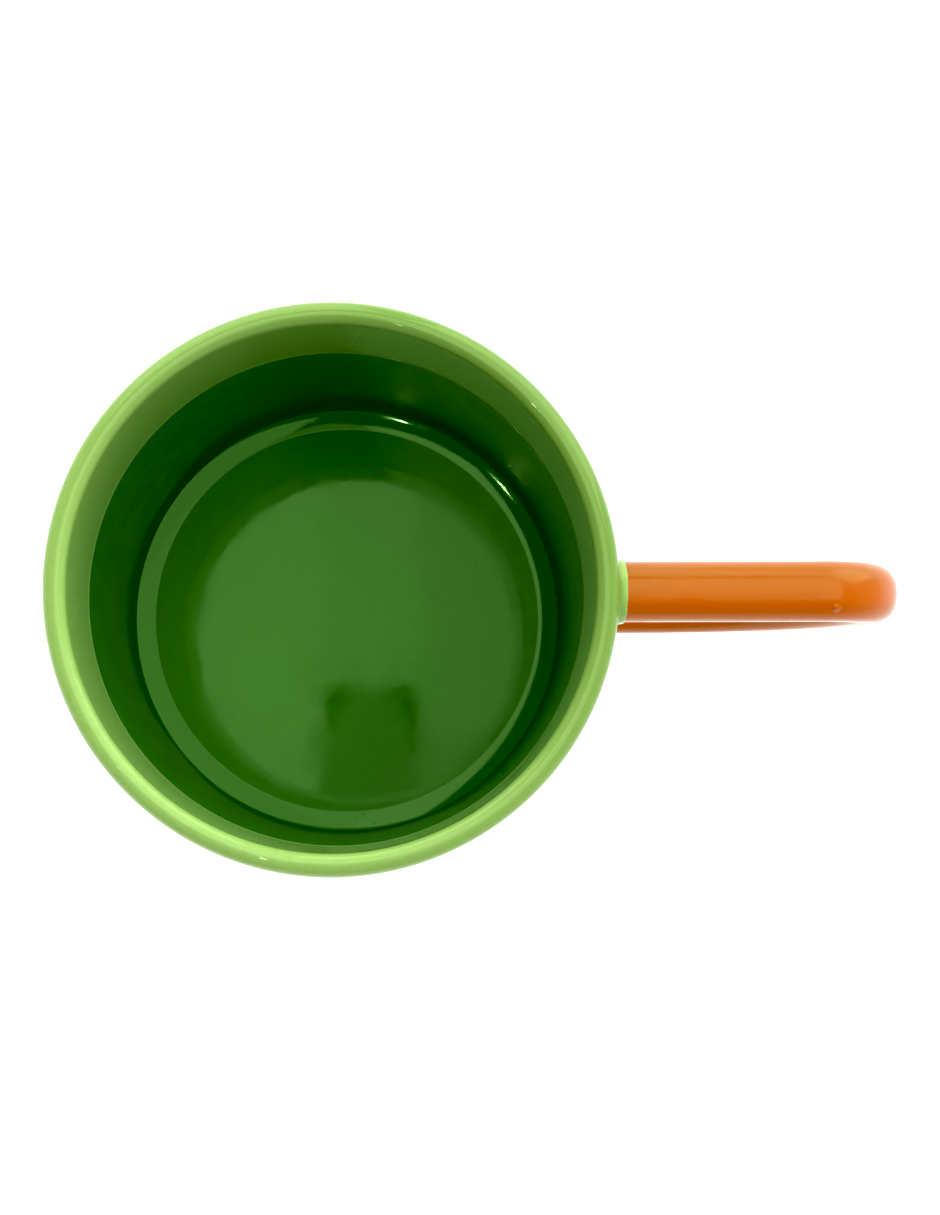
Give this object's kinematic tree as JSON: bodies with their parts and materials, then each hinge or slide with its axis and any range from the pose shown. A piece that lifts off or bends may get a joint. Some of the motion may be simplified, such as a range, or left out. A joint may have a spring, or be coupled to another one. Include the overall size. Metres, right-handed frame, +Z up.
{
  "type": "mug",
  "caption": "Straight-sided glazed ceramic mug with a narrow strap handle luted to its side, a rounded lip and a low foot ring.",
  "frame": {"origin": "centre of the foot ring, on the surface that the mug stands on", "axes": "+Z up along the mug's axis, +X from the axis towards the handle"},
  "size_m": [0.1241, 0.082, 0.095],
  "materials": {
    "clay": "matt fired clay, bare on the foot ring",
    "lime_glaze": "gloss",
    "deep_green_glaze": "gloss",
    "orange_glaze": "gloss",
    "slip": "matt fired slip under glaze"
  },
  "bodies": {
    "root": {"body": "clay", "outer_glaze": "lime_glaze", "inner_glaze": "deep_green_glaze", "base_glaze": "lime_glaze", "handle": "clay", "handle_glaze": "orange_glaze", "upper_slip_joint": "slip", "lower_slip_joint": "slip"}
  },
  "joints": []
}
